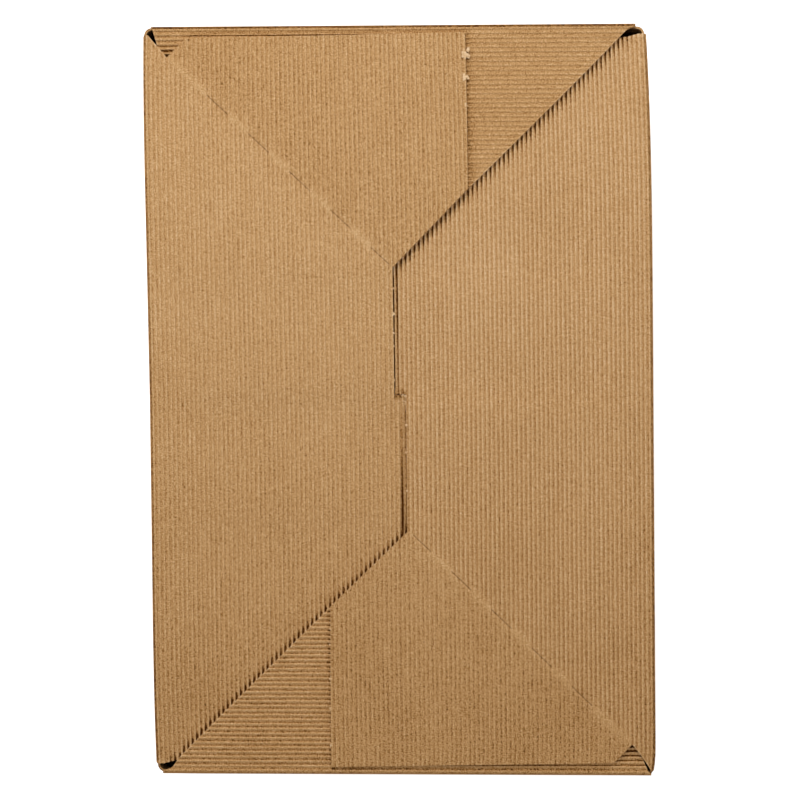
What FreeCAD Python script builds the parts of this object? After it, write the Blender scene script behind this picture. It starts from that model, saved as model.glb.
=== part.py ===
# A box of single-faced ribbed board with an interlocking glued base, erected.
# It lies on its open rim, base upwards, and the base's four flaps face +Z.
# Millimetres. X runs across the box, Y along it, and the rim is on z = 0.
# The board is one sheet: a flat liner inside and parallel ribs outside.
import FreeCAD, Part
import math
import os
import re
import Sketcher

Vector = FreeCAD.Vector
UP = Vector(0, 0, 1)

doc = FreeCAD.newDocument("FoldedBox")

# Driving sizes. Each one is set once here and read from the sheet everywhere.
SIZES = {
    # the erected box, measured over its ribs; the height is rim to end flaps
    "box_length": 392,
    "box_width": 264,
    "box_height": 90,
    # how far the two end walls have slid past each other as the box racked
    "rack_shift": 5.3,
    # the board
    "liner_thickness": 0.4,
    "rib_height": 0.8,
    "rib_pitch": 2.4,
    "rib_crest": 0.9,
    "fold_radius": 2.5,
    # the stack of layers in the base
    "layer_gap": 0.2,
    "glue_bite": 0.1,
    # corner holes: how far each flap stops short of the end of its fold
    "side_flap_gap": 5.2,
    "end_flap_gap": 5.0,
    "end_flap_taper": 4.0,
    # the notch between a side flap and its glued tab
    "notch_inset": 12,
    "notch_depth": 17,
    "tab_start": 21.5,
    "tab_edge_gap": 6.5,
    "tab_edge_rise": 2.9,
    # the glued tab past the middle of the box and its slanting edge
    "tab_reach": 36.7,
    "tab_root": 110,
    "slant_start": 69,
    # the seam in the middle and the hidden hook beyond it
    "seam_offset": 3.1,
    "seam_gap": 0.6,
    "hook_reach": 18,
    "hook_depth": 8,
    "tail_inset": 24,
    "end_flap_tip": 3,
}

sheet = doc.addObject("Spreadsheet::Sheet", "Sizes")
for row, (name, value) in enumerate(SIZES.items(), start=1):
    sheet.set(f"A{row}", name)
    sheet.set(f"B{row}", str(value))
    sheet.setAlias(f"B{row}", name)

# Sizes that follow from the driving ones, as formulas over the same cells.
DERIVED = {
    "board": "liner_thickness + rib_height",
    "half_length": "box_length / 2",
    "half_width": "box_width / 2",
    "rack_slope": "rack_shift / box_length",
    # levels of the side flaps against the end flaps: glued on top, or below
    "lift": "board - glue_bite",
    "drop": "board + layer_gap",
    # plain board at the top of each wall, where the folds grow out of it
    "fold_tail": "lift + drop + fold_radius / 2",
    "wall_top": "box_height - drop - fold_radius",
    # here the two side flaps are one board apart, so one can pass under
    "hook_start": "slant_start * (board + layer_gap) / (lift + drop)",
}
for row, (name, formula) in enumerate(DERIVED.items(), start=len(SIZES) + 1):
    sheet.set(f"A{row}", name)
    sheet.set(f"B{row}", "=" + formula)
    sheet.setAlias(f"B{row}", name)
doc.recompute()


def size(formula):
    """The value of a formula over the sheet's names."""
    return float(sheet.evalExpression(formula))


def bound(formula):
    """The same formula, written for an object outside the sheet."""
    return re.sub(r"[a-z]\w*", lambda word: "Sizes." + word.group(), formula)


half_length = size("half_length")
half_width = size("half_width")
board = size("board")
rib_height = size("rib_height")
rib_pitch = size("rib_pitch")
fold_radius = size("fold_radius")
fold_tail = size("fold_tail")
lift = size("lift")
drop = size("drop")
slant_start = size("slant_start")
rack_slope = size("rack_slope")
rack_angle = math.degrees(math.atan(rack_slope))
# distance from the middle to a side wall's outer face, square to that face
side_face = half_width * math.cos(math.radians(rack_angle))


def line(start, end):
    return Part.LineSegment(start, end).toShape()


def arc(start, middle, end):
    return Part.Arc(start, middle, end).toShape()


def rib_edges(start, along, outward, count):
    """`count` ribs in a row: each a flank, a narrow crest and a flank."""
    crest_width = size("rib_crest")
    flank = along * ((rib_pitch - crest_width) / 2) + outward * rib_height
    edges = []
    for rib in range(count):
        valley = start + along * (rib * rib_pitch)
        crest_start = valley + flank
        crest_end = crest_start + along * crest_width
        next_valley = valley + along * rib_pitch
        edges.append(line(valley, crest_start))
        edges.append(line(crest_start, crest_end))
        edges.append(line(crest_end, next_valley))
    return edges


def flap_section(reach, ribbed=True):
    """Section of a flap with its fold, in X and Z, ribs upwards.

    The wall's outer face is on x = 0, and the flap's ribs touch z = 0.
    """
    root = Vector(fold_radius, 0, 0)
    centre = Vector(fold_radius, 0, -fold_radius)
    inner_radius = fold_radius - board
    slant = Vector(-math.sqrt(0.5), 0, math.sqrt(0.5))
    if ribbed:
        # the smooth fold runs down into the first valley
        valley = root + Vector(rib_height, 0, -rib_height)
        count = math.ceil((reach - valley.x) / rib_pitch)
        tip = valley + Vector(count * rib_pitch, 0, 0)
        surface = [line(root, valley)] + rib_edges(valley, Vector(1, 0, 0), UP, count)
    else:
        tip = Vector(reach, 0, 0)
        surface = [line(root, tip)]
    under_tip = Vector(tip.x, 0, -board)
    under_root = Vector(fold_radius, 0, -board)
    outer_start = Vector(0, 0, -fold_radius)
    inner_start = Vector(board, 0, -fold_radius)
    tail = Vector(0, 0, -fold_tail)
    edges = [
        line(outer_start + tail, outer_start),
        arc(outer_start, centre + slant * fold_radius, root),
        *surface,
        line(tip, under_tip),
        line(under_tip, under_root),
        arc(under_root, centre + slant * inner_radius, inner_start),
        line(inner_start, inner_start + tail),
        line(inner_start + tail, outer_start + tail),
    ]
    return Part.Face(Part.Wire(edges))


def wall_section():
    """Section of a wall in X and Z, from the rim up, outer face on x = 0."""
    top = size("wall_top")
    count = math.floor((top - fold_tail) / rib_pitch)
    foot = Vector(rib_height, 0, 0)
    head = foot + UP * (count * rib_pitch)
    edges = [
        *rib_edges(foot, UP, Vector(-1, 0, 0), count),
        line(head, Vector(0, 0, head.z)),
        line(Vector(0, 0, head.z), Vector(0, 0, top)),
        line(Vector(0, 0, top), Vector(board, 0, top)),
        line(Vector(board, 0, top), Vector(board, 0, 0)),
        line(Vector(board, 0, 0), foot),
    ]
    return Part.Face(Part.Wire(edges))


def solid_object(name, shape, placement):
    """A board made from its section, set where it belongs."""
    made = doc.addObject("Part::Feature", name)
    made.Label = name
    made.Shape = shape
    made.Placement = placement
    return made


def turned(angle, place=Vector(0, 0, 0)):
    """A placement turned about the upright through `place`."""
    return FreeCAD.Placement(place, FreeCAD.Rotation(UP, angle))


def side_board(name):
    """The west flap's board: low in the south, a ramp, and high in the north."""
    section = flap_section(half_width + size("tab_reach + rack_shift"))
    section.translate(Vector(-side_face, 0, size("box_height")))
    overrun = half_length - slant_start
    low = section.translated(Vector(0, -half_length, -drop))
    ramp = section.translated(Vector(0, -slant_start, -drop))
    high = section.translated(Vector(0, slant_start, lift))
    pieces = [
        low.extrude(Vector(0, overrun, 0)),
        ramp.extrude(Vector(0, 2 * slant_start, lift + drop)),
        high.extrude(Vector(0, overrun, 0)),
    ]
    shape = pieces[0].fuse(pieces[1:])
    return solid_object(name, shape, turned(rack_angle))


def end_board(name, ribbed):
    """The north flap's board, level, its ribs across the box."""
    section = flap_section(half_length - slant_start, ribbed)
    section.translate(Vector(-half_length, -half_width, size("box_height")))
    return solid_object(name, section.extrude(Vector(0, 2 * half_width, 0)), turned(-90))


def outline(name, corners):
    """A flap's outline as an upright prism; the corners are formulas.

    Each corner is given on the square box and slides with its end wall.
    """
    sketch = doc.addObject("Sketcher::SketchObject", name + "_sketch")
    plan = [(f"({x}) - rack_slope * ({y})", y) for x, y in corners]
    spots = [Vector(size(x), size(y), 0) for x, y in plan]
    for number, spot in enumerate(spots):
        end = spots[(number + 1) % len(spots)]
        sketch.addGeometry(Part.LineSegment(spot, end), False)
    for number, (x, y) in enumerate(plan):
        after = (number + 1) % len(plan)
        sketch.addConstraint(Sketcher.Constraint("Coincident", number, 2, after, 1))
        spot = spots[number]
        across = sketch.addConstraint(Sketcher.Constraint("DistanceX", -1, 1, number, 1, spot.x))
        sketch.setExpression(f"Constraints[{across}]", bound(x))
        along = sketch.addConstraint(Sketcher.Constraint("DistanceY", -1, 1, number, 1, spot.y))
        sketch.setExpression(f"Constraints[{along}]", bound(y))
    prism = doc.addObject("Part::Extrusion", name + "_prism")
    prism.Base = sketch
    prism.DirMode = "Custom"
    prism.Dir = UP
    prism.Solid = True
    prism.setExpression("LengthFwd", bound("box_height + 2 * lift"))
    return prism


# A side flap, here the west one, from its fold's north end clockwise.
SIDE_FLAP = [
    ("-half_width", "half_length - side_flap_gap"),
    ("notch_inset - half_width", "half_length - notch_depth"),
    ("tab_start - half_width", "half_length - tab_edge_gap"),
    ("tab_reach", "half_length - tab_edge_gap + tab_edge_rise"),
    ("tab_reach", "tab_root"),
    ("-seam_offset - seam_gap / 2", "slant_start"),
    ("-seam_offset - seam_gap / 2", "0 - seam_gap / 2"),
    ("seam_offset - seam_gap / 2", "0 - seam_gap / 2"),
    ("seam_offset - seam_gap / 2", "-hook_start"),
    ("hook_reach", "-hook_start"),
    ("hook_reach", "-slant_start - hook_depth"),
    ("tail_inset - half_width", "tab_edge_gap - half_length"),
    ("-half_width", "side_flap_gap - half_length"),
]

# An end flap, here the north one: one edge slants in full view, the other
# follows the crease of the tab that covers it.
END_FLAP = [
    ("end_flap_gap - half_width", "half_length"),
    ("end_flap_gap + end_flap_taper - half_width", "half_length - notch_depth"),
    ("-seam_offset - 2 * end_flap_tip", "slant_start + end_flap_tip / 2"),
    ("-seam_offset", "slant_start + end_flap_tip / 2"),
    ("half_width - end_flap_gap", "half_length"),
]

# The patch of an end flap that the tab is glued on, bounded by the crease.
GLUED_PATCH = SIDE_FLAP[1:6]


def cut_to(name, raw, outline_prism):
    """A flap is its board cut to its outline."""
    common = doc.addObject("Part::Common", name)
    common.Base = raw
    common.Tool = outline_prism
    return common


def end_flap(name):
    """Ribbed where it shows, and pressed flat where the tab is glued on."""
    whole = cut_to(name + "_whole", end_board(name + "_board", True), outline(name, END_FLAP))
    patch = outline(name + "_patch", GLUED_PATCH)
    ribbed = doc.addObject("Part::Cut", name + "_ribbed")
    ribbed.Base = whole
    ribbed.Tool = patch
    pressed = cut_to(name + "_pressed", end_board(name + "_plain_board", False), patch)
    both = doc.addObject("Part::Fuse", name)
    both.Base = ribbed
    both.Tool = pressed
    return both


def opposite(name, source):
    """The same piece again, half a turn round the box's middle."""
    copy = doc.addObject("Part::Compound", name)
    copy.Links = [source]
    copy.Placement = turned(180)
    return copy


def corner_centre(side, end):
    """Middle of a rounded corner: `side` is -1 west or 1 east, `end` -1 or 1."""
    y = end * (half_length - fold_radius)
    edge = side * half_width - rack_slope * y
    return Vector(edge - side * fold_radius * math.hypot(1, rack_slope), y, 0)


def wall(name, start, end):
    """A ribbed wall between the middles of two rounded corners, box on its left."""
    run = end - start
    heading = math.degrees(math.atan2(run.y, run.x))
    section = wall_section()
    section.translate(Vector(-fold_radius, 0, 0))
    shape = section.extrude(Vector(0, run.Length, 0))
    return solid_object(name, shape, turned(heading - 90, start))


def corner_post(name, centre, first_angle, sweep):
    """A rounded corner of crushed board, between two walls."""
    outer = doc.addObject("Part::Cylinder", name + "_outer")
    outer.setExpression("Radius", "Sizes.fold_radius")
    outer.setExpression("Height", "Sizes.wall_top")
    outer.Angle = sweep
    outer.Placement = turned(first_angle, centre)
    inner = doc.addObject("Part::Cylinder", name + "_inner")
    inner.setExpression("Radius", "Sizes.fold_radius - Sizes.board")
    inner.setExpression("Height", "Sizes.wall_top")
    inner.Placement = turned(0, centre)
    post = doc.addObject("Part::Cut", name)
    post.Base = outer
    post.Tool = inner
    return post


west_flap = cut_to("west_flap", side_board("west_board"), outline("side_flap", SIDE_FLAP))
east_flap = opposite("east_flap", west_flap)
north_flap = end_flap("north_flap")
south_flap = opposite("south_flap", north_flap)

north_west = corner_centre(-1, 1)
north_east = corner_centre(1, 1)
south_east = corner_centre(1, -1)
south_west = corner_centre(-1, -1)
walls = [
    wall("west_wall", south_west, north_west),
    wall("north_wall", north_west, north_east),
    wall("east_wall", north_east, south_east),
    wall("south_wall", south_east, south_west),
]
corners = [
    corner_post("north_west_corner", north_west, 90, 90 + rack_angle),
    corner_post("south_west_corner", south_west, 180 + rack_angle, 90 - rack_angle),
    corner_post("south_east_corner", south_east, 270, 90 + rack_angle),
    corner_post("north_east_corner", north_east, rack_angle, 90 - rack_angle),
]

folded_box = doc.addObject("Part::MultiFuse", "folded_box")
folded_box.Label = "folded_box"
folded_box.Shapes = walls + corners + [west_flap, east_flap, north_flap, south_flap]
doc.recompute()

for made in doc.Objects:
    faults = {"Invalid", "Error"} & set(made.State)
    assert not faults, f"{made.Name} is {made.State}"
    if hasattr(made, "Shape"):
        assert not made.Shape.isNull() and made.Shape.isValid(), f"{made.Name} has no sound shape"
assert len(folded_box.Shape.Solids) == 1, "the folded box must be one solid"

os.makedirs("parts", exist_ok=True)
folded_box.Shape.exportStep("parts/folded_box.step")
box = folded_box.Shape.BoundBox
print(f"folded_box: {box.XLength:.1f} x {box.YLength:.1f} x {box.ZLength:.1f} mm")
print(f"board in it: {folded_box.Shape.Volume / 1000:.1f} cubic centimetres")
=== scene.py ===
# %% [markdown]
# # A ribbed board box, seen on its closed base
# This lesson dresses one box of single-faced ribbed board. The board is a flat liner with a wavy sheet glued
# outside it. The box lies on its open rim, and the camera looks straight down on the base. Four flaps close
# that base. The two long ones carry a tab each, glued on a short flap, and their free edges hook under each
# other in the middle. The solid model comes first: it gives the size and the place of everything made here.

# %% Load the solid model
import bisect
import math
import random

import bpy
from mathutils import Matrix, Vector


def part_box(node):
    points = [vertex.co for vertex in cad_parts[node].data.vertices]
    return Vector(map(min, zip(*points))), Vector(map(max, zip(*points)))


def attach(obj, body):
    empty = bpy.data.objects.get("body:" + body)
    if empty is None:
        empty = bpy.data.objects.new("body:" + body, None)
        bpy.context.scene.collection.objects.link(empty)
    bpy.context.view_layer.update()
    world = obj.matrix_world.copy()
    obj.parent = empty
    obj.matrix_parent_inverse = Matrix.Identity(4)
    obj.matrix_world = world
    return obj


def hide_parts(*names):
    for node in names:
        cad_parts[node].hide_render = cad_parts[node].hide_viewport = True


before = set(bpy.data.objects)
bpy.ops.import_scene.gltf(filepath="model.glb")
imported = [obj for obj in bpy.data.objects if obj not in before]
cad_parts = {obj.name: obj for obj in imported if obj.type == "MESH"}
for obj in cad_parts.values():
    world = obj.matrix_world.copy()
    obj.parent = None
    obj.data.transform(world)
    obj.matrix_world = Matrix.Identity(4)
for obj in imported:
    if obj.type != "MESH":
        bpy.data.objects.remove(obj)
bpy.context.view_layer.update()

# %% [markdown]
# ## The plan of the base
# All lengths below are millimetres on a square, flat plan, with the middle of the box at zero: x to the
# right, y towards the top of the picture. The real box has racked: its sides lean to the left going up, and
# they bulge a little. `racked` bends the square plan to that outline, so every other cell can think square.

# %% Bend the square plan to the real outline
MM = 0.001
half_width = 132
half_length = 196
tab_lift = 1.1
tuft_room = 0.35
base_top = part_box("folded_box")[1].z / MM - tab_lift - tuft_room
left_middle = -130.17
left_lean = 0.01817
right_middle = 132.63
right_lean = 0.0062
bulge_height = 172


def side_edges(y):
    """Where the left and the right side of the base run, at height y of the picture."""
    bulge = (y / bulge_height) ** 2
    left = left_middle - left_lean * y - 2.08 * bulge + 1.745 * bulge ** 2
    upper_pull = 2.4 * (max(y, 0) / 185) ** 4
    lower_pull = (max(-y - 184, 0) / 9) ** 1.5
    right = right_middle - right_lean * y - upper_pull - lower_pull
    return left, right


def end_edges(x):
    """Where the lower and the upper end of the base run, at x."""
    return -195.4 - 0.0045 * x, 195.05 + 0.007 * x


def racked(x, y):
    """A point of the square plan, moved to its place on the racked box."""
    across = (x + half_width) / (2 * half_width)
    along = (y + half_length) / (2 * half_length)
    for _ in range(3):
        low, high = end_edges(x)
        y = low + (high - low) * along
        left, right = side_edges(y)
        x = left + (right - left) * across
    return x, y


print("upper left corner:", racked(-half_width, half_length))

# %% [markdown]
# ## Knit a flat board
# A flap is a flat sheet with a free outline. Ribs need many points across them and few along them, so the
# sheet is knitted from columns that run along the ribs, close together, with rows far apart. Wherever the
# outline has a corner there is a column too, so every edge stays sharp. Neighbouring columns are stitched
# together like a zip. The sheet is then given a second face under it and a rim, which closes it.

# %% Columns and rows of a sheet
row_step = 7.0
row_room = 0.8
same_row = 0.45
rib_columns = 8
column_room = 0.06
near = 1e-6
border = 0.3


def edge_crossings(outline, left, right):
    """Outline edges that span the strip between two columns, as (height left, height right), upwards."""
    spans = []
    for start, end in zip(outline, outline[1:] + outline[:1]):
        if start[0] > end[0]:
            start, end = end, start
        if end[0] - start[0] < near or start[0] > left + near or end[0] < right - near:
            continue
        slope = (end[1] - start[1]) / (end[0] - start[0])
        spans.append((start[1] + slope * (left - start[0]), start[1] + slope * (right - start[0])))
    return sorted(spans, key=sum)


def column_places(outline, pitch):
    """Evenly spaced columns, and one through every corner of the outline."""
    corners = sorted({round(point[0], 4) for point in outline})
    places = set(corners)
    count = math.ceil((corners[-1] - corners[0]) / pitch * rib_columns)
    for number in range(count):
        place = corners[0] + number * pitch / rib_columns
        nearest = min(abs(place - corner) for corner in corners)
        if nearest > column_room:
            places.add(round(place, 4))
    return sorted(places)


print(rib_columns, "columns to a rib, a row every", row_step, "mm")


# %% Stitch two columns together
def zip_columns(left, right):
    """Faces between two columns; each is a list of (height, vertex)."""
    faces = []
    i = j = 0
    while i < len(left) - 1 or j < len(right) - 1:
        more_left = i < len(left) - 1
        more_right = j < len(right) - 1
        if more_left and more_right and abs(left[i + 1][0] - right[j + 1][0]) < same_row:
            faces.append((left[i][1], right[j][1], right[j + 1][1], left[i + 1][1]))
            i += 1
            j += 1
        elif more_left and (not more_right or left[i + 1][0] - right[j][0] < right[j + 1][0] - left[i][0]):
            faces.append((left[i][1], right[j][1], left[i + 1][1]))
            i += 1
        else:
            faces.append((left[i][1], right[j][1], right[j + 1][1]))
            j += 1
    return faces


# %% Knit the sheet
def knit(outline, pitch, extra_rows):
    """Points (across, along) and faces of a flat sheet inside an outline."""
    outline = [(round(u, 4), round(v, 4)) for u, v in outline]
    columns = column_places(outline, pitch)
    strips = [edge_crossings(outline, a, b) for a, b in zip(columns, columns[1:])]
    rows = []
    for number, place in enumerate(columns):
        fixed = {round(point[1], 4) for point in outline if abs(point[0] - place) < 1e-3}
        if number > 0:
            fixed |= {round(span[1], 4) for span in strips[number - 1]}
        if number < len(strips):
            fixed |= {round(span[0], 4) for span in strips[number]}
        around = strips[max(number - 1, 0):number + 1]
        side = 0 if number == 0 else 1
        for bottom, top in zip(around[0][::2], around[0][1::2]):
            if top[side] - bottom[side] > 2:
                fixed |= {round(bottom[side] + border, 4), round(top[side] - border, 4)}
        fixed = sorted(fixed | {round(height, 4) for height in extra_rows(place)})
        low = math.ceil(fixed[0] / row_step)
        high = math.floor(fixed[-1] / row_step)
        plain = [k * row_step for k in range(low, high + 1)]
        rows.append(sorted(fixed + [v for v in plain if min(abs(v - f) for f in fixed) > row_room]))
    points = []
    known = {}

    def vertex(column, height):
        key = (column, height)
        if key not in known:
            known[key] = len(points)
            points.append((columns[column], height))
        return known[key]

    faces = []
    for number, spans in enumerate(strips):
        for bottom, top in zip(spans[::2], spans[1::2]):
            sides = []
            for side, column in enumerate((number, number + 1)):
                low = bisect.bisect_left(rows[column], round(bottom[side], 4) - 1e-3)
                high = bisect.bisect_right(rows[column], round(top[side], 4) + 1e-3)
                sides.append([(v, vertex(column, v)) for v in rows[column][low:high]])
            faces.extend(zip_columns(*sides))
    return points, faces


def rim_edges(faces):
    """Edges that only one face uses, each in that face's own direction."""
    edges = {}
    for face in faces:
        for a, b in zip(face, face[1:] + face[:1]):
            edges[(a, b)] = True
    return [edge for edge in edges if (edge[1], edge[0]) not in edges]


square = knit([(0, 0), (10, 0), (10, 20), (0, 20)], 2.4, lambda place: ())
print("a trial sheet of 10 by 20 mm has", len(square[1]), "faces")

# %% [markdown]
# ## Board from a sheet
# Each point of a sheet is put in space twice: on the liner's inner face and at the height of the rib crests.
# The point remembers how far across the ribs it lies, which way is outwards there, and four notes: how hard
# the board is pressed, how deep it is cut, how much darker or paler it is painted, for the paper's own tone
# and for painted shade and highlights, and how much painted shade fills its valleys where they are shut in.
# The ribs themselves come later, from those notes, which leave the liner's inner face plain.

# %% Make a closed board
board = 1.2


def make_board(name, points, faces, place, notes):
    """A closed board. `place` puts (across, along, height) in space; `notes` gives the four notes."""
    count = len(points)
    inner = [Vector(place(u, v, 0)) for u, v in points]
    outer = [Vector(place(u, v, board)) for u, v in points]
    raised = [(b - a).normalized() for a, b in zip(inner, outer)]
    walls = [(a, a + count, b + count, b) for a, b in rim_edges(faces)]
    turned_faces = [tuple(count + i for i in reversed(face)) for face in faces]
    mesh = bpy.data.meshes.new(name)
    mesh.from_pydata([p * MM for p in outer + inner], [], [*faces, *turned_faces, *walls])
    store(mesh, "across", "FLOAT", [u for u, v in points] * 2)
    store(mesh, "along", "FLOAT", [v for u, v in points] * 2)
    mesh.polygons.foreach_set("use_smooth", [True] * (2 * len(faces)) + [False] * len(walls))
    noted = [notes(u, v) for u, v in points]
    for number, kind in enumerate(("press", "cut", "tint", "shut")):
        store(mesh, kind, "FLOAT", [note[number] for note in noted] + [0.0] * count)
    store(mesh, "outside", "FLOAT", [1.0] * count + [0.0] * count)
    store(mesh, "outwards", "FLOAT_VECTOR", [c for p in raised + raised for c in p])
    piece = bpy.data.objects.new(name, mesh)
    bpy.context.scene.collection.objects.link(piece)
    print(f"{name}: {len(mesh.vertices)} points, {len(mesh.polygons)} faces")
    return piece


def store(mesh, name, kind, values):
    """Write one value a point under a name."""
    field = mesh.attributes.new(name, kind, "POINT")
    field.data.foreach_set("vector" if kind == "FLOAT_VECTOR" else "value", values)


print("the board is", board, "mm thick")

# %% [markdown]
# ## Kraft paper
# Ribbed board is made of unbleached paper. Close up it is a tan ground with a fine grain, a few pale and dark
# fibres, specks, and soft clouds where the pulp was thicker. It is matt. Everything that makes a spot darker
# or paler is added up to one tone, and a ramp of browns turns the tone into colour, because kraft gets redder
# as it gets darker. Besides the paper's own marks, the tone carries painted light: a painted highlight on the
# rib crests, painted shade in the valleys, the painted shade and highlights that the notes ask for, and a
# painted falloff of the light that darkens the board a little towards the low end of the picture. Faint
# streaks follow the ribs. All of it is built from noise, with no picture.

# %% Helpers for node trees
def node(tree, kind, **settings):
    """A new node with its settings made and its sockets filled, by name."""
    made = tree.nodes.new(kind)
    for key, value in settings.items():
        if hasattr(made, key) and key not in made.inputs:
            setattr(made, key, value)
        else:
            made.inputs[key].default_value = value
    return made


def noise(tree, coordinates, scale, detail, roughness, stretch=(1, 1, 1), turn=0.0):
    """Noise on object coordinates, stretched and turned in the plan."""
    mapping = tree.nodes.new("ShaderNodeMapping")
    mapping.inputs["Rotation"].default_value = (0, 0, turn)
    mapping.inputs["Scale"].default_value = stretch
    tree.links.new(coordinates, mapping.inputs["Vector"])
    made = node(tree, "ShaderNodeTexNoise", Scale=scale, Detail=detail, Roughness=roughness)
    tree.links.new(mapping.outputs["Vector"], made.inputs["Vector"])
    return made.outputs["Fac"]


def ranged(tree, value, low, high, to_low, to_high):
    """A value moved from one range to another, smoothly and clamped."""
    made = node(tree, "ShaderNodeMapRange", interpolation_type="SMOOTHSTEP")
    made.inputs["From Min"].default_value = low
    made.inputs["From Max"].default_value = high
    made.inputs["To Min"].default_value = to_low
    made.inputs["To Max"].default_value = to_high
    tree.links.new(value, made.inputs["Value"])
    return made.outputs["Result"]


def maths(tree, operation, *values):
    """One sum on values or sockets."""
    made = tree.nodes.new("ShaderNodeMath")
    made.operation = operation
    for socket, value in zip(made.inputs, values):
        if isinstance(value, (int, float)):
            socket.default_value = value
        else:
            tree.links.new(value, socket)
    return made.outputs[0]


# %% The browns of kraft
KRAFT_BROWNS = (
    (0.00, (0.050, 0.013, 0.001)),
    (0.10, (0.200, 0.080, 0.014)),
    (0.21, (0.352, 0.173, 0.055)),
    (0.50, (0.502, 0.288, 0.119)),
    (0.75, (0.620, 0.380, 0.180)),
    (1.00, (0.780, 0.560, 0.340)),
)
print("browns on the ramp:", len(KRAFT_BROWNS))


def brown_ramp(tree, tone):
    """The colour of a tone."""
    ramp = tree.nodes.new("ShaderNodeValToRGB")
    stops = ramp.color_ramp.elements
    stops.remove(stops[0])
    stops[0].position = KRAFT_BROWNS[0][0]
    for place, _ in KRAFT_BROWNS[1:]:
        stops.new(place)
    for stop, (_, brown) in zip(stops, KRAFT_BROWNS):
        stop.color = (*brown, 1)
    tree.links.new(tone, ramp.inputs["Fac"])
    return ramp.outputs["Color"]


# %% Kraft paper
def kraft(name, ground, rib_shade_depth, valley_shade_depth):
    """Brown unbleached paper. `ground` is its plain tone; the depths say how strong the painted highlight and
    shade of the ribs and the painted shade of shut-in valleys are.
    """
    material = bpy.data.materials.new(name)
    material.use_nodes = True
    tree = material.node_tree
    shader = tree.nodes["Principled BSDF"]
    coordinates = tree.nodes.new("ShaderNodeTexCoord").outputs["Object"]

    def about(value, strength):
        return maths(tree, "MULTIPLY", maths(tree, "SUBTRACT", value, 0.5), strength)

    def noted(name):
        return node(tree, "ShaderNodeAttribute", attribute_name=name).outputs["Fac"]

    def fibres(turn, strength):
        threads = noise(tree, coordinates, 420, 0, 0.5, stretch=(5, 0.6, 1), turn=turn)
        return ranged(tree, threads, 0.74, 0.82, 0.0, strength)

    clouds = noise(tree, coordinates, 18, 3, 0.5)
    mottle = noise(tree, coordinates, 700, 2, 0.6)
    grain = noise(tree, coordinates, 1700, 2, 0.7)
    specks = noise(tree, coordinates, 1500, 0, 0.5)
    split = tree.nodes.new("ShaderNodeSeparateXYZ")
    tree.links.new(coordinates, split.inputs["Vector"])
    northing = split.outputs["Y"]
    on_board = tree.nodes.new("ShaderNodeCombineXYZ")
    tree.links.new(noted("across"), on_board.inputs["X"])
    tree.links.new(maths(tree, "MULTIPLY", noted("along"), 0.02), on_board.inputs["Y"])
    # painted shade in valleys that are shut in under or beside another board
    valley_shade = maths(tree, "SUBTRACT", maths(tree, "ADD", noted("valley"), noted("shut")), 1.0)
    streak = noise(tree, on_board.outputs["Vector"], 1.7, 1, 0.5)
    layers = [
        about(clouds, 0.14),
        about(mottle, 0.45),
        about(grain, 2.0),
        about(streak, 0.3),
        # painted falloff of the light: the board is darker towards the low end of the picture
        ranged(tree, northing, -0.22, 0.10, -0.17, 0.0),
        ranged(tree, specks, 0.74, 0.82, 0.0, -0.14),
        fibres(0.5, 0.16),
        fibres(2.2, -0.12),
        # painted highlight on the rib crests and painted shade in their valleys
        maths(tree, "MULTIPLY", noted("relief"), rib_shade_depth),
        maths(tree, "MULTIPLY", maths(tree, "MAXIMUM", valley_shade, 0.0), -valley_shade_depth),
        # the tint note: the paper's own tone, with painted shade and painted highlights
        noted("tint"),
    ]
    tone = layers[0]
    for layer in [*layers[1:], ground]:
        tone = maths(tree, "ADD", tone, layer)
    tree.links.new(brown_ramp(tree, tone), shader.inputs["Base Color"])
    shader.inputs["Roughness"].default_value = 0.95
    shader.inputs["Specular IOR Level"].default_value = 0.05
    bump = node(tree, "ShaderNodeBump", Strength=0.35, Distance=0.0001)
    tree.links.new(grain, bump.inputs["Height"])
    tree.links.new(bump.outputs["Normal"], shader.inputs["Normal"])
    return material


kraft_board = kraft("kraft_board", 0.56, 0.38, 0.90)
torn_paper = kraft("torn_paper", 0.92, 0.0, 0.0)
print("papers:", kraft_board.name, torn_paper.name)

# %% [markdown]
# ## Ribs as a rule
# Every rib is the same arch, repeated at the pitch of the board, so a small node tree makes them. It reads
# how far across the board a point lies, works out where in its arch that is, and lowers the point from crest
# height by the depth of the valley there. The arches lean a little away from the fold. Pressed board has
# shallower valleys. Cuts go straight down.

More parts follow.
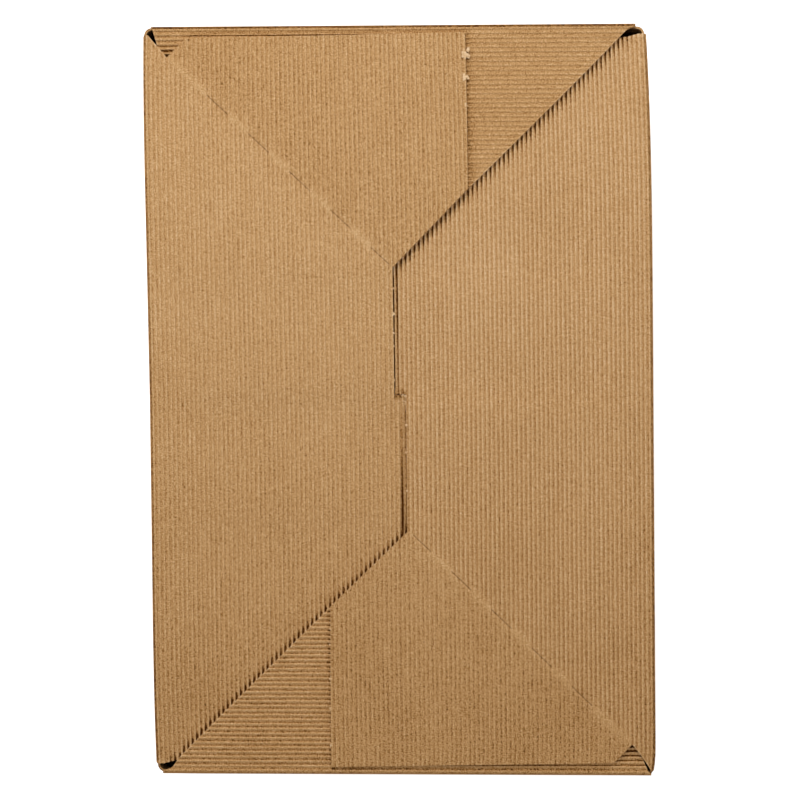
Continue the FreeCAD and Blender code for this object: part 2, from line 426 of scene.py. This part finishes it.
# %% The rib tree
def rib_tree():
    """Geometry nodes that press the ribs into a board."""
    tree = bpy.data.node_groups.new("ribs", "GeometryNodeTree")
    face = tree.interface
    face.new_socket("Board", in_out="INPUT", socket_type="NodeSocketGeometry")
    for name, value in (("Pitch", 2.4), ("Depth", 0.8), ("Roundness", 2.0), ("Lean", 0.1), ("Wander", 0.12)):
        face.new_socket(name, in_out="INPUT", socket_type="NodeSocketFloat").default_value = value
    face.new_socket("Seed", in_out="INPUT", socket_type="NodeSocketInt").default_value = 0
    face.new_socket("Paper", in_out="INPUT", socket_type="NodeSocketMaterial")
    face.new_socket("Ribbed board", in_out="OUTPUT", socket_type="NodeSocketGeometry")
    given = tree.nodes.new("NodeGroupInput").outputs
    result = tree.nodes.new("NodeGroupOutput")

    def note(name, kind="FLOAT"):
        made = tree.nodes.new("GeometryNodeInputNamedAttribute")
        made.data_type = kind
        made.inputs["Name"].default_value = name
        return made.outputs["Attribute"]

    def join(operation, *values):
        return maths(tree, operation, *values)

    across = note("across")
    place = tree.nodes.new("ShaderNodeCombineXYZ")
    tree.links.new(join("MULTIPLY", across, 0.05), place.inputs["X"])
    tree.links.new(join("MULTIPLY", note("along"), 0.02), place.inputs["Y"])
    tree.links.new(given["Seed"], place.inputs["Z"])
    drift = tree.nodes.new("ShaderNodeTexNoise")
    tree.links.new(place.outputs["Vector"], drift.inputs["Vector"])
    drift.inputs["Scale"].default_value = 1.0
    sway = join("MULTIPLY", join("SUBTRACT", drift.outputs["Fac"], 0.5), given["Wander"])
    even = join("ADD", join("DIVIDE", across, given["Pitch"]), sway)
    wave = join("COSINE", join("MULTIPLY", even, math.tau))
    turns = join("ADD", even, join("MULTIPLY", wave, given["Lean"]))
    arch = join("POWER", join("ABSOLUTE", join("SINE", join("MULTIPLY", turns, math.pi))), given["Roundness"])
    low = join("SUBTRACT", 1.0, arch)
    unpressed = join("SUBTRACT", 1.0, note("press"))
    valley = join("MULTIPLY", low, unpressed)
    sink = join("ADD", join("MULTIPLY", valley, given["Depth"]), note("cut"))
    sink = join("MULTIPLY", join("MULTIPLY", sink, note("outside")), -MM)
    shift = tree.nodes.new("ShaderNodeVectorMath")
    shift.operation = "SCALE"
    tree.links.new(note("outwards", "FLOAT_VECTOR"), shift.inputs[0])
    tree.links.new(sink, shift.inputs["Scale"])
    # `valley` and `relief` are kept for the paper: painted shade in the valleys, painted highlight on the
    # crests
    relief = join("MULTIPLY", join("SUBTRACT", 0.5, low), unpressed)
    board_now = given["Board"]
    for name, value in (("valley", valley), ("relief", relief)):
        kept = tree.nodes.new("GeometryNodeStoreNamedAttribute")
        kept.data_type = "FLOAT"
        kept.domain = "POINT"
        kept.inputs["Name"].default_value = name
        tree.links.new(board_now, kept.inputs["Geometry"])
        tree.links.new(join("MULTIPLY", value, note("outside")), kept.inputs["Value"])
        board_now = kept.outputs["Geometry"]
    moved = tree.nodes.new("GeometryNodeSetPosition")
    tree.links.new(board_now, moved.inputs["Geometry"])
    tree.links.new(shift.outputs["Vector"], moved.inputs["Offset"])
    real = tree.nodes.new("GeometryNodeRealizeInstances")
    tree.links.new(moved.outputs["Geometry"], real.inputs["Geometry"])
    painted = tree.nodes.new("GeometryNodeSetMaterial")
    tree.links.new(real.outputs["Geometry"], painted.inputs["Geometry"])
    tree.links.new(given["Paper"], painted.inputs["Material"])
    tree.links.new(painted.outputs["Geometry"], result.inputs["Ribbed board"])
    return tree


ribs = rib_tree()
print("rib tree:", len(ribs.nodes), "nodes")


# %% Run a tree and keep a plain mesh
def run_tree(piece, tree, inputs):
    """Run a node tree on an object and keep the result as a plain mesh."""
    identifiers = {item.name: item.identifier for item in tree.interface.items_tree if item.in_out == "INPUT"}
    modifier = piece.modifiers.new(tree.name, "NODES")
    modifier.node_group = tree
    for name, value in inputs.items():
        modifier[identifiers[name]] = value
    bpy.context.view_layer.update()
    graph = bpy.context.evaluated_depsgraph_get()
    mesh = bpy.data.meshes.new_from_object(piece.evaluated_get(graph))
    plain = piece.data
    name = plain.name
    piece.modifiers.remove(modifier)
    piece.data = mesh
    bpy.data.meshes.remove(plain)
    mesh.name = name
    return piece


def press_ribs(piece, **inputs):
    """Run the rib tree on a board."""
    return run_tree(piece, ribs, inputs)


# %% [markdown]
# ## From wall to flap
# A flap grows out of its wall through a rounded fold. `on_side` follows the board from the wall, round the
# fold and along the flap, for any of the four sides: `u` is the way along the board, zero where the fold
# starts, and `v` runs along the fold. The flaps don't lie level. A glued tab lies one board above the end
# flap under it, and the other side flap lies one board below, so each side flap twists as it crosses the
# middle. `level` gives that lift.

# %% Folds and levels
fold_radius = 2.5
fold_run = fold_radius * math.pi / 2
slant_start = 69.0
tail_drop = 1.2


def smooth(low, high, value):
    """Zero below `low`, one above `high`, and an S-shaped slope between."""
    step = min(max((value - low) / (high - low), 0.0), 1.0)
    return step * step * (3 - 2 * step)


def plan_point(side, inwards, along):
    """A place on the square plan, given from the outer face of one side."""
    return {
        "west": (inwards - half_width, along),
        "east": (half_width - inwards, -along),
        "north": (along, half_length - inwards),
        "south": (-along, inwards - half_length),
    }[side]


def side_level(inwards, along):
    """Lift of a side flap, glued end on positive `along`."""
    lift = -tail_drop + 0.6 * smooth(-slant_start, -54, along) + 1.2 * smooth(-6, 6, along)
    lift += 0.5 * smooth(54, slant_start, along)
    shoulder = 8 + 30 * smooth(20, 60, half_length - abs(along))
    return lift * smooth(0, shoulder, inwards - fold_radius)


def end_level(inwards, along):
    """Lift of an end flap: its hidden corner dips under the side flap."""
    return -0.9 * smooth(0, 12, -108 - along) * smooth(0, 8, inwards - fold_radius)


def on_side(side):
    """The function that puts a board of one side in space."""
    lift = side_level if side in ("west", "east") else end_level

    def place(u, v, height):
        depth = board - height
        if u < 0:
            inwards, z = depth, base_top - fold_radius + u
        elif u < fold_run:
            turn = u / fold_radius
            reach = fold_radius - depth
            inwards = fold_radius - reach * math.cos(turn)
            z = base_top - fold_radius + reach * math.sin(turn)
        else:
            inwards = fold_radius + u - fold_run
            z = base_top - depth + lift(inwards, v)
        x, y = racked(*plan_point(side, inwards, v))
        return x, y, z

    return place


print("fold takes", round(fold_run, 2), "mm of board")

# %% [markdown]
# ## The two side flaps
# Both are cut alike, half a turn apart, but not quite: each has its own free edge, far edge and end. Going
# round one: the fold, the tail, a hook that is hidden under the other flap, the free edge with a step in the
# middle, the slanting edge, the tab's far edge, the tab's outer edge and a notch. The crease of the tab is
# half cut: cuts and ties alternate along it so that it folds easily. Where a tail runs under an end flap, its
# valleys are shut in, and painted shade makes them a row of dark teeth.
#
# In the table, `upper`, `lower` and `step` place the free edge, `facing` is where the other flap's edge runs,
# and `gap` and `line` paint shade along the seam between the two. `far` is the tab's far edge, `under` the
# line where the tail goes under an end flap, and `teeth` how far and how strongly painted shade fills its
# valleys there. `edge` is how far the painted shade of the fold reaches. The others say where the fold ends,
# how hard the ribs are pressed, how round they are and how dark the paper is.

# %% Shapes of the side flaps
def developed(inwards):
    """Distance along the board of a place on the flap, from the outer face of its side."""
    return inwards - fold_radius + fold_run


def plan_x(x):
    """The same for a plan x, as if the flap were the left one."""
    return developed(x + half_width)


def on_line(points, u):
    """Height of a bent line at a column."""
    for (u0, v0), (u1, v1) in zip(points, points[1:]):
        if u < u1 or (u1, v1) == points[-1]:
            return v0 + (v1 - v0) * (u - u0) / (u1 - u0)


notch = (plan_x(-119.1), 179.2)
tab_corner = (plan_x(-109.5), 189.1)
side_shapes = {
    "west": {
        "upper": -3.8, "lower": 2.1, "step": 2.5, "facing": 2.2, "gap": (0.55, 0.5), "line": 0.6,
        "fold_end": (plan_x(-129.2), 191.2),
        "far": ((plan_x(36.0), 109.8), (plan_x(36.9), 191.4)),
        "under": ((plan_x(-119.5), -187.3), (plan_x(-38.0), -107.9), (plan_x(2.7), -slant_start)),
        "press": 0.36, "tab_press": 0.36, "tint": 0.05, "edge": 2.5, "teeth": (7.0, 0.88),
        "roundness": 3.4, "seed": 1,
    },
    "east": {
        "upper": -2.2, "lower": 3.7, "step": -2.6, "facing": 3.8, "gap": (0.95, 0.85), "line": 0.0,
        "fold_end": (plan_x(-130.4), 193.4),
        "far": ((plan_x(38.3), 108.0), (plan_x(39.4), 191.6)),
        "under": ((plan_x(-119.7), -190.6), (plan_x(-35.9), -109.6), (plan_x(3.8), -slant_start)),
        "press": 0.0, "tab_press": 0.42, "tint": 0.07, "edge": 3.0, "teeth": (12.0, 1.0),
        "roundness": 2.0, "seed": 2,
    },
}
hook_reach = 18
hook_end = -77
hook_gap = 6


def side_outline(shape):
    """Outline of a side flap."""
    return [
        (2.2, shape["fold_end"][1] + 0.3),
        (0.3, shape["fold_end"][1] - 1.6),
        (0.3, -188.8),
        (1.8, -190.4),
        (plan_x(-127.5), -190.3),
        (plan_x(-122), -189.0),
        (plan_x(-100), -186.0),
        (plan_x(hook_reach), hook_end),
        (plan_x(hook_reach), -hook_gap),
        (plan_x(shape["lower"]), -hook_gap),
        (plan_x(shape["lower"]), shape["step"]),
        (plan_x(shape["upper"]), shape["step"]),
        (plan_x(shape["upper"]), slant_start),
        *shape["far"],
        tab_corner,
        notch,
        shape["fold_end"],
    ]


print("corners of a side flap:", len(side_outline(side_shapes["west"])))

# %% Crease and edges of the side flaps
cut_length = 10.45
first_cut = 20.9
crease = (notch, (plan_x(-3.8), slant_start))


def side_rows(shape):
    """The rows that a column needs to follow the crease, the diagonal and the end edges."""

    def rows(u):
        found = []
        if notch[0] + 1.5 < u < crease[1][0] - 1.5:
            found += [on_line(crease, u) + shift for shift in (-4, -1.4, -0.25, 0, 0.25, 1.8, 4.4)]
        if plan_x(-119) < u < plan_x(2.6):
            found += [on_line(shape["under"], u) + shift for shift in (-0.6, 0.2, 1.2, 2.6, 4.8, 8)]
        if u < plan_x(-122):
            found += [-189.2, -188.4]
        if plan_x(shape["upper"]) < u < plan_x(shape["lower"]):
            found += [shape["step"] + 0.5, shape["step"] + 1.0]
        if shape["fold_end"][0] < u < notch[0]:
            end_edge = on_line((shape["fold_end"], notch), u)
            found += [end_edge - 0.7, end_edge - 1.2]
        return found

    return rows


def crease_notes(u, v):
    """Press, cut and tint along the crease: whole ties are crushed flat, cuts are thin dark lines."""
    above = v - on_line(crease, u)
    if not (notch[0] + 1.5 < u < crease[1][0] - 1.5 and -4 < above < 4.5):
        return 0.0, 0.0, 0.0
    past = u - notch[0] - first_cut
    band = 1 - smooth(0, 4.2, abs(above - 0.3))
    if past > 0 and past % (2 * cut_length) < cut_length:
        line = abs(above) < 0.1
        return 0.35 * band, 0.25 if line else 0.0, -0.95 if line else 0.03 * band
    return 0.95 * band, 0.08 * band, 0.07 * band


print("one cut of the crease is", round(cut_length * math.sqrt(2), 1), "mm long")


# %% Notes of the side flaps
# pale_rim is a painted highlight along cut ends; fold_shade is painted shade on the fold
pale_rim = 0.18
fold_shade = 0.3


def side_notes(shape):
    """The four notes of a side flap."""
    facing = shape["facing"]

    def notes(u, v):
        x = u + fold_radius - fold_run - half_width
        crushed, cut, tint = crease_notes(u, v)
        below = v - on_line(shape["under"], u)
        beside = smooth(-76, -66, v) * (1 - smooth(-8, -3, v)) if v < 0 else 0.0
        fading = smooth(-60, -10, v)
        second = (0.75 - 0.35 * fading) * (1 - smooth(0.7, 1.3, abs(x - facing + 2.0)))
        tint += shape["tint"] - 0.07 * smooth(-10, 10, v - on_line(crease, u))
        # a paler band along the line where the tail goes under an end flap: painted light that lifts the
        # shadow there
        tint += 0.3 * (1 - smooth(0.3, 1.4, below))
        tint -= fold_shade * (1 - smooth(shape["edge"], shape["edge"] + 0.8, u))
        # painted shadow in the first valleys beside the other flap's edge
        tint -= shape["line"] * beside * (1 - 0.7 * fading) * (1 - smooth(0.2, 0.7, abs(x - facing + 1.95)))
        # painted shadow in the slit along the seam
        width, depth = shape["gap"]
        tint -= depth * smooth(facing - width, facing - width + 0.3, x) if -70 < v < -3 else 0.0
        # painted shade at the step of the free edge
        if shape["upper"] < x < shape["lower"] and v < shape["step"] + 0.7:
            tint -= 0.6 * (1 - smooth(0, 0.7, abs(v - shape["step"])))
        # painted highlight along the cut ends of the flap
        if u < notch[0] and v > on_line((shape["fold_end"], notch), u) - 0.8:
            tint += pale_rim
        if u < plan_x(-121) and v < -189.0:
            tint += pale_rim
        hard = shape["tab_press"] if v > on_line(crease, u) else shape["press"]
        hard *= smooth(0, 12, below) * (1 - second)
        # painted shade in the valleys: the teeth under an end flap, and the first valleys beside the other
        # flap's edge
        reach, strength = shape["teeth"]
        shut = max(strength * (1 - smooth(-1.5, reach, below)), beside * second)
        return max(hard, crushed, 0.5 * (1 - smooth(2.5, 5, u))), cut, tint, shut

    return notes


# %% Make the side flaps
side_pitch = 2.371


def side_flap(side):
    """One side flap, ribbed and ready."""
    shape = side_shapes[side]
    points, faces = knit(side_outline(shape), side_pitch, side_rows(shape))
    flap = make_board(side + "_flap", points, faces, on_side(side), side_notes(shape))
    return press_ribs(
        flap, Pitch=side_pitch, Roundness=shape["roundness"], Seed=shape["seed"], Paper=kraft_board
    )


west_flap = side_flap("west")
east_flap = side_flap("east")

# %% [markdown]
# ## The two end flaps
# An end flap is a slanting tongue. One edge slants in full view over the tail of a side flap. The other edge
# follows the crease of the tab that is glued on it. Next to the fold its ribs are crushed. Beside the tab's
# edge, and in the little notch at its corner, its valleys are shut in and painted dark with shade.
#
# In the table, `slant` is the edge in full view, `corner` the short edge in the notch and `tab_edge` where the
# tab's far edge lies on the flap. `tab_shade`, `by_tab` and `in_notch` say how much painted shade falls beside
# and below the tab, and `edge` how dark the painted shade of the fold is.

# %% Shapes of the end flaps
end_shapes = {
    "north": {
        "slant": ((developed(3.8), 121.4), (developed(5.4), 119.7), (developed(86.4), 35.9)),
        "corner": ((0.3, -127.8), (developed(9.1), -124.7), (developed(15), -124.4)),
        "fold_end": 126.0, "tab_edge": 36.6, "tab_shade": (0.22, 4.5), "by_tab": 0.9, "in_notch": 0.5,
        "edge": 0.4, "press": 0.6, "tint": -0.09, "seed": 3,
    },
    "south": {
        "slant": ((developed(3.9), 123.1), (developed(8.7), 119.5), (developed(88.1), 38.0)),
        "corner": ((0.3, -130.9), (developed(7.2), -125.9), (developed(15), -124.4)),
        "fold_end": 128.0, "tab_edge": 38.9, "tab_shade": (0.1, 2.0), "by_tab": 0.45, "in_notch": 0.35,
        "edge": 0.08, "press": 0.05, "tint": 0.02, "seed": 4,
    },
}
tongue = developed(126.4)


def end_outline(shape):
    """Outline of an end flap."""
    return [
        shape["corner"][0],
        (0.3, shape["fold_end"]),
        (1.8, shape["fold_end"] + 0.4),
        (3.4, shape["fold_end"] - 0.6),
        *shape["slant"],
        (tongue, -3.2),
        (tongue, -9),
        (developed(20), -119.6),
        *reversed(shape["corner"][1:]),
    ]


def end_rows(shape):
    """The rows that a column needs to follow its ends and the tab's edge."""
    slant, corner, tab_edge = shape["slant"], shape["corner"], shape["tab_edge"]

    def rows(u):
        found = []
        if u < slant[2][0]:
            found += [tab_edge + shift for shift in (-0.5, 0.4, 1.2, 2.4)]
        if slant[0][0] < u < slant[2][0]:
            found += [on_line(slant, u) - 0.45, on_line(slant, u) - 0.9]
        if u < corner[2][0]:
            found += [on_line(corner, u) + 0.6, on_line(corner, u) + 1.1]
        return [v for v in found if on_line(corner, u) < v < on_line(slant, u)]

    return rows


print("an end flap reaches", round(tongue, 1), "mm along the board")


# %% Notes of the end flaps
def end_notes(shape):
    """The four notes of an end flap."""
    slant, corner, tab_edge = shape["slant"], shape["corner"], shape["tab_edge"]

    def notes(u, v):
        # the flap's own tint, with painted shade on the fold's edge
        tint = shape["tint"] - shape["edge"] * (1 - smooth(2.9, 3.5, u))
        # painted highlight along the cut edges
        if v < on_line(corner, u) + 0.7 or (u > slant[0][0] and v > on_line(slant, u) - 0.5):
            tint += 0.15
        past_tab = v - tab_edge
        shade, shade_reach = shape["tab_shade"]
        # painted shadow beside the tab's far edge
        if past_tab > -0.6 and u > 5:
            tint -= shade * (1 - smooth(0, shade_reach, past_tab))
        # a painted shade line close to the fold, below the tab
        if -110 < v < tab_edge:
            tint -= 0.12 * (1 - smooth(1.0, 1.6, abs(u - 5.3)))
        # painted shade in the valleys below and beside the tab and in the notch, which are also pressed less
        by_tab = shape["by_tab"] * (1 - smooth(0.5, 1.2, abs(u - 6.2))) if -110 < v < tab_edge else 0.0
        beside_tab = 0.45 * (1 - smooth(0.2, 2.2, past_tab)) if past_tab > -0.6 else 0.0
        in_notch = (shape["in_notch"] + 0.45 * smooth(9, 17, u)) * (1 - smooth(-108, -104, v))
        hidden = max(by_tab, beside_tab, in_notch)
        hard = max(shape["press"] * (1 - 0.7 * hidden), 0.8 * (1 - smooth(3.4, 5.4, u)))
        return hard, 0.0, tint, hidden

    return notes


# %% Make the end flaps
end_pitch = 2.41


def end_flap(side):
    """One end flap, ribbed and ready."""
    shape = end_shapes[side]
    points, faces = knit(end_outline(shape), end_pitch, end_rows(shape))
    flap = make_board(side + "_flap", points, faces, on_side(side), end_notes(shape))
    return press_ribs(flap, Pitch=end_pitch, Seed=shape["seed"], Paper=kraft_board)


north_flap = end_flap("north")
south_flap = end_flap("south")

# %% [markdown]
# ## The walls
# The four walls are one band of board with its ribs running round the box and rounded corners, where the
# board is pressed. It is knitted from the same kind of columns, but it closes on itself.

# %% Walls round the box
corners = ((4.0, 1.0, 1.4), (4.5, 0.4, 0.5), (4.5, 0.7, 0.7), (2.5, 0.5, 0.4))
wall_top = base_top - fold_radius
wall_pitch = 2.4
wall_columns = 6
corner_steps = 8
corner_press = 0.75
corner_shade = 0.3


def wall_path():
    """Points round the square plan: place, outward direction and how hard the corner is pressed."""
    path = []
    for quarter, (sign_x, sign_y) in enumerate(((1, 1), (-1, 1), (-1, -1), (1, -1))):
        radius, pull_x, pull_y = corners[quarter]
        centre = Vector((sign_x * (half_width - radius - pull_x), sign_y * (half_length - radius - pull_y)))
        for step in range(corner_steps + 1):
            angle = math.pi / 2 * (quarter + step / corner_steps)
            outwards = Vector((math.cos(angle), math.sin(angle)))
            path.append((centre + outwards * radius, outwards, math.sin(math.pi * step / corner_steps)))
        across = quarter % 2 == 0
        heading = Vector((-sign_x, 0)) if across else Vector((0, -sign_y))
        outwards = path[-1][1]
        reach = 2 * (half_width if across else half_length)
        for run in (10, 18, 30, 0.3 * reach, 0.5 * reach, 0.7 * reach, reach - 30, reach - 18, reach - 10):
            corner = Vector((sign_x * half_width, sign_y * half_length))
            path.append((corner + heading * run, outwards, 0.0))
    return path


# %% Make the walls
def make_walls():
    """The wall band, ribbed and ready."""
    path = wall_path()
    count = len(path)
    levels = round(wall_top / wall_pitch * wall_columns)
    heights = [wall_top * level / levels for level in range(levels + 1)]
    points = [(-z, s) for z in heights for s in range(count)]
    faces = []
    for row in range(len(heights) - 1):
        for s in range(count):
            after = (s + 1) % count
            first = row * count
            faces.append((first + s, first + after, first + count + after, first + count + s))

    def place(u, s, height):
        spot, outwards, _ = path[s]
        inset = spot - outwards * (board - height)
        x, y = racked(inset.x, inset.y)
        return x, y, -u

    def notes(u, s):
        at_corner = path[s][2]
        return corner_press * at_corner, 0.0, -corner_shade * at_corner, 0.0

    walls = make_board("walls", points, faces, place, notes)
    return press_ribs(walls, Pitch=wall_pitch, Wander=0.0, Seed=5, Paper=kraft_board)


walls = make_walls()

# %% [markdown]
# ## Torn ties
# The flaps were cut from the sheet with small ties left whole, and the ties tore. Each left a tuft of pale
# paper on the cut edge. A tuft is a handful of crumpled flakes; a node tree puts one on every place, turns it
# and crumples it, all by chance but from a fixed seed.

# %% The tuft tree
tilt = 0.15


def tuft_tree():
    """Geometry nodes that put a crumpled flake on every point."""
    tree = bpy.data.node_groups.new("tufts", "GeometryNodeTree")
    face = tree.interface
    face.new_socket("Places", in_out="INPUT", socket_type="NodeSocketGeometry")
    for name, value in (("Flatness", 0.16), ("Crumple", 0.9)):
        face.new_socket(name, in_out="INPUT", socket_type="NodeSocketFloat").default_value = value
    face.new_socket("Seed", in_out="INPUT", socket_type="NodeSocketInt").default_value = 7
    face.new_socket("Paper", in_out="INPUT", socket_type="NodeSocketMaterial")
    face.new_socket("Tufts", in_out="OUTPUT", socket_type="NodeSocketGeometry")
    given = tree.nodes.new("NodeGroupInput").outputs
    result = tree.nodes.new("NodeGroupOutput")

    def step(kind, **inputs):
        made = tree.nodes.new(kind)
        for name, value in inputs.items():
            socket = made.inputs[name.replace("_", " ")]
            if isinstance(value, bpy.types.NodeSocket):
                tree.links.new(value, socket)
            else:
                socket.default_value = value
        return made

    flake = step("GeometryNodeMeshIcoSphere", Radius=0.5 * MM, Subdivisions=2)
    flat = step("ShaderNodeCombineXYZ", X=1.0, Y=0.62, Z=given["Flatness"])
    flake = step("GeometryNodeTransform", Geometry=flake.outputs["Mesh"], Scale=flat.outputs["Vector"])
    turn = tree.nodes.new("FunctionNodeRandomValue")
    turn.data_type = "FLOAT_VECTOR"
    turn.inputs[0].default_value = (-tilt, -tilt, 0)
    turn.inputs[1].default_value = (tilt, tilt, 6.28)
    tree.links.new(given["Seed"], turn.inputs["Seed"])
    size = tree.nodes.new("GeometryNodeInputNamedAttribute")
    size.inputs["Name"].default_value = "size"
    strewn = step("GeometryNodeInstanceOnPoints", Points=given["Places"], Instance=flake.outputs["Geometry"],
                  Rotation=turn.outputs["Value"], Scale=size.outputs["Attribute"])
    real = step("GeometryNodeRealizeInstances", Geometry=strewn.outputs["Instances"])
    ripple = step("ShaderNodeTexNoise", Scale=1400.0)
    middle = tree.nodes.new("ShaderNodeVectorMath")
    middle.operation = "MULTIPLY_ADD"
    middle.inputs[1].default_value = (2 * MM, 2 * MM, 0.5 * MM)
    middle.inputs[2].default_value = (-MM, -MM, -0.25 * MM)
    tree.links.new(ripple.outputs["Color"], middle.inputs[0])
    amount = tree.nodes.new("ShaderNodeVectorMath")
    amount.operation = "SCALE"
    tree.links.new(middle.outputs["Vector"], amount.inputs[0])
    tree.links.new(given["Crumple"], amount.inputs["Scale"])
    crumpled = step("GeometryNodeSetPosition", Geometry=real.outputs["Geometry"],
                    Offset=amount.outputs["Vector"])
    painted = step("GeometryNodeSetMaterial", Geometry=crumpled.outputs["Geometry"], Material=given["Paper"])
    tree.links.new(painted.outputs["Geometry"], result.inputs["Tufts"])
    return tree


tufting = tuft_tree()
print("tuft tree:", len(tufting.nodes), "nodes")

# %% Tufts on the cut edges
torn_ties = {
    "west": (
        (36.6, 180.4, 3.2), (36.4, 167.8, 2.4), (36.2, 153.5, 0.9), (36.0, 140.4, 0.6), (35.8, 126.8, 0.5),
        (-3.7, 58.0, 0.8), (-3.8, 44.9, 1.2), (-3.8, 34.9, 0.6), (-3.8, 28.1, 0.6), (-3.8, 10.4, 0.7),
        (1.8, 1.8, 1.0), (2.0, -1.6, 0.9), (0.7, 2.3, 0.6),
    ),
    "east": (
        (38.5, 119.5, 0.5), (38.6, 127.8, 0.6), (38.8, 145.6, 0.9), (39.0, 161.3, 1.0), (39.1, 170.2, 0.6),
        (39.1, 179.7, 1.1), (-2.2, 13.2, 0.6), (-2.2, 27.3, 0.8), (-2.2, 47.7, 0.6),
    ),
}


def make_tufts():
    """All tufts as one piece: a few flakes for every torn tie."""
    chance = random.Random(11)
    places = []
    sizes = []
    for side, ties in torn_ties.items():
        place = on_side(side)
        for x, y, extent in ties:
            for _ in range(5 + round(3 * extent)):
                out = chance.uniform(-0.5, 0.45) * extent
                along = chance.gauss(0, 0.3) * extent
                places.append(Vector(place(plan_x(x + out), y + along, board - 0.1)) * MM)
                sizes.append(chance.uniform(0.7, 1.3) * extent ** 0.7)
    mesh = bpy.data.meshes.new("torn_ties")
    mesh.from_pydata(places, [], [])
    store(mesh, "size", "FLOAT", sizes)
    tufts = bpy.data.objects.new("torn_ties", mesh)
    bpy.context.scene.collection.objects.link(tufts)
    return run_tree(tufts, tufting, {"Seed": 7, "Paper": torn_paper})


tufts = make_tufts()
print("flakes of torn paper:", len(tufts.data.polygons), "faces")

# %% [markdown]
# ## Where each piece belongs
# The box is one folded sheet, so all its boards ride on the one body, and the solid they stand for is hidden.

# %% Tie the pieces to the model
pieces = [west_flap, east_flap, north_flap, south_flap, walls, tufts]
for piece in pieces:
    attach(piece, "root")
    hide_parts("folded_box")
    print(piece.name, len(piece.data.polygons), "faces")

# %% [markdown]
# ## Floor, light and camera
# The picture was taken from straight above on plain white, in soft light that comes mostly from the top of
# the picture. A big lamp there shapes the ribs, and a pale surround fills the valleys.

# %% Floor
def floor_paint(name, glow_colour, glow_strength):
    """White floor paint that keeps the object's shadow; its glow is for the camera alone."""
    material = bpy.data.materials.new(name)
    material.use_nodes = True
    tree = material.node_tree
    shader = tree.nodes["Principled BSDF"]
    shader.inputs["Base Color"].default_value = (0.9, 0.9, 0.9, 1)
    shader.inputs["Roughness"].default_value = 1.0
    shader.inputs["Specular IOR Level"].default_value = 0.0
    glow = node(tree, "ShaderNodeEmission", Color=(*glow_colour, 1), Strength=glow_strength)
    light_path = tree.nodes.new("ShaderNodeLightPath")
    seen = tree.nodes.new("ShaderNodeMixShader")
    both = tree.nodes.new("ShaderNodeAddShader")
    tree.links.new(shader.outputs["BSDF"], both.inputs[0])
    tree.links.new(glow.outputs["Emission"], both.inputs[1])
    tree.links.new(light_path.outputs["Is Camera Ray"], seen.inputs["Fac"])
    tree.links.new(shader.outputs["BSDF"], seen.inputs[1])
    tree.links.new(both.outputs["Shader"], seen.inputs[2])
    tree.links.new(seen.outputs["Shader"], tree.nodes["Material Output"].inputs["Surface"])
    return material


floor_reach = 6.0
inside_width = 0.126
inside_length = 0.189
middle_quad = 4


def make_floor():
    """A big floor; the part of it inside the box has no white glow, only a faint painted brown glow that
    stands for the dim light in there, so the box stays dark inside.
    """
    across = (-floor_reach, -inside_width, inside_width, floor_reach)
    along = (-floor_reach, -inside_length, inside_length, floor_reach)
    mesh = bpy.data.meshes.new("floor")
    quads = [(4 * j + i, 4 * j + i + 1, 4 * j + i + 5, 4 * j + i + 4) for j in range(3) for i in range(3)]
    mesh.from_pydata([(x, y, 0) for y in along for x in across], [], quads)
    mesh.materials.append(floor_paint("white_floor", (1, 1, 1), 0.65))
    # painted light: the floor inside the box glows a faint brown for the camera, for the dim light inside the
    # box
    mesh.materials.append(floor_paint("floor_inside_painted_glow", (1, 0.35, 0.1), 0.012))
    mesh.polygons[middle_quad].material_index = 1
    floor = bpy.data.objects.new("floor", mesh)
    bpy.context.scene.collection.objects.link(floor)
    return floor


floor = make_floor()
print("floor:", len(floor.data.polygons), "faces")

# %% Light
surround_strength = 0.62
world = bpy.data.worlds.new("surround")
bpy.context.scene.world = world
world.use_nodes = True
world.node_tree.nodes["Background"].inputs["Color"].default_value = (1, 1, 1, 1)
world.node_tree.nodes["Background"].inputs["Strength"].default_value = surround_strength


def lamp(name, place, aim, size, power):
    """A square soft lamp that faces a point."""
    light = bpy.data.lights.new(name, "AREA")
    light.shape = "SQUARE"
    light.size = size
    light.energy = power
    holder = bpy.data.objects.new(name, light)
    holder.location = place
    holder.rotation_euler = (Vector(aim) - Vector(place)).to_track_quat("-Z", "Y").to_euler()
    bpy.context.scene.collection.objects.link(holder)
    return holder


key_lamp = lamp("key_lamp", (-0.3, 1.1, 1.0), (0, 0.05, 0.09), 0.5, 12)
print("light:", key_lamp.name, "and a surround of", surround_strength)

# %% Camera
picture_scale = 0.5197 * MM
picture_middle = (399.3, 399.45)
picture_width = 800
camera_data = bpy.data.cameras.new("camera")
camera_data.type = "PERSP"
camera_data.lens = 85
camera_data.sensor_width = 36
view_width = picture_width * picture_scale
distance = view_width * camera_data.lens / camera_data.sensor_width
camera = bpy.data.objects.new("camera", camera_data)
shift_x = (picture_width / 2 - picture_middle[0]) * picture_scale
shift_y = (picture_middle[1] - picture_width / 2) * picture_scale
camera.location = (shift_x, shift_y, base_top * MM + distance)
camera.rotation_euler = (0, 0, 0)
bpy.context.scene.collection.objects.link(camera)
bpy.context.scene.camera = camera
bpy.context.scene.view_settings.view_transform = "Standard"
print("camera height:", round(camera.location.z, 3))
